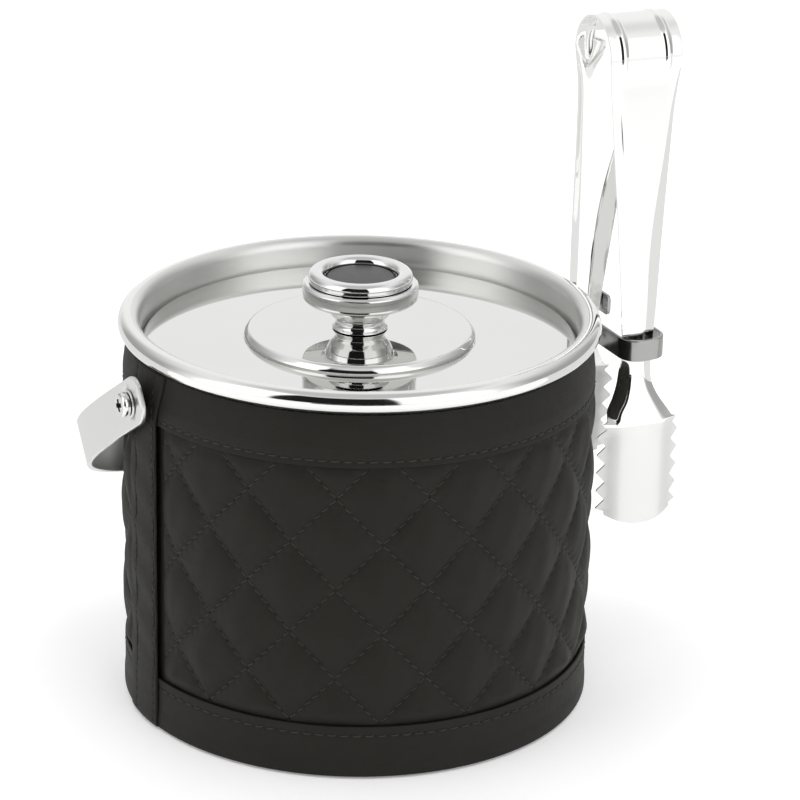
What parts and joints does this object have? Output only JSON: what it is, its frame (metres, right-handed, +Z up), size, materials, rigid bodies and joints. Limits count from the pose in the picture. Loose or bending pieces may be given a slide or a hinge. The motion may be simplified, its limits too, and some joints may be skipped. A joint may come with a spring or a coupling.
{
  "type": "ice bucket",
  "caption": "Round double-walled ice bucket in a quilted leather jacket, with a knobbed lift-off lid, a swing bail and serrated spring tongs in a side clip.",
  "frame": {"origin": "centre of the base's underside, on the table", "axes": "+Z up; +X along the bail's pivot axis, towards the tongs; +Y towards the side where the bail lies at rest"},
  "size_m": [0.2086, 0.1751, 0.2309],
  "materials": {
    "polished_steel": "mirror polished",
    "satin_steel": "satin",
    "black_leather": "matte, soft grain",
    "insulation_foam": "foam",
    "black_plastic": "gloss",
    "nickel_brass": "polished"
  },
  "bodies": {
    "bucket": {"inner_liner": "satin_steel", "insulation_jacket": "insulation_foam", "outer_shell": "satin_steel", "base_plate": "black_plastic", "base_cover": "black_leather", "quilted_panel_front": "black_leather", "quilted_panel_rear": "black_leather", "top_band_front": "black_leather", "top_band_rear": "black_leather", "bottom_band_front": "black_leather", "bottom_band_rear": "black_leather", "seam_strip_left": "black_leather", "seam_strip_right": "black_leather", "pivot_bush_left": "nickel_brass", "pivot_bush_right": "nickel_brass", "pivot_nut_left": "polished_steel", "pivot_nut_right": "polished_steel", "pivot_washer_left": "polished_steel", "pivot_screw_left": "polished_steel", "clip_standoff": "polished_steel", "pivot_screw_right": "polished_steel", "tongs_clip": "polished_steel"},
    "bail": {"bail_handle": "polished_steel"},
    "lid": {"lid_plate": "polished_steel", "lid_pan": "satin_steel", "lid_insulation": "insulation_foam", "knob_body": "polished_steel", "knob_ring": "polished_steel", "knob_inlay": "black_plastic", "knob_washer": "polished_steel", "knob_screw": "polished_steel"},
    "tongs_crown": {"tongs_bow": "polished_steel"},
    "tongs_front": {"tongs_front_arm": "polished_steel"},
    "tongs_rear": {"tongs_rear_arm": "polished_steel"}
  },
  "joints": [
    {"name": "bail_swing", "type": "hinge", "parent": "bucket", "child": "bail", "pos_m": [0, 0, 0.1176], "axis": [1, 0, 0], "range_deg": [0, 232]},
    {"name": "lid_lift", "type": "slide", "parent": "bucket", "child": "lid", "axis": [0, 0, 1], "range_m": [0, 0.125]},
    {"name": "tongs_lift", "type": "slide", "parent": "bucket", "child": "tongs_crown", "axis": [0, 0, 1], "range_m": [0, 0.008]},
    {"name": "tongs_front_flex", "type": "hinge", "parent": "tongs_crown", "child": "tongs_front", "pos_m": [0.10158, -0.01556, 0.21633], "axis": [0.9973, -0.072, -0.0161], "range_deg": [0, 8], "stiffness_Nm_per_rad": 1.5, "springref_deg": -1.15},
    {"name": "tongs_rear_flex", "type": "hinge", "parent": "tongs_crown", "child": "tongs_rear", "pos_m": [0.10356, 0.01166, 0.21687], "axis": [-0.9973, 0.072, 0.0161], "range_deg": [0, 8], "stiffness_Nm_per_rad": 1.5, "springref_deg": -1.15}
  ],
  "couplings": [
    {"joint": "tongs_rear_flex", "follows": "tongs_front_flex", "ratio": 1}
  ]
}
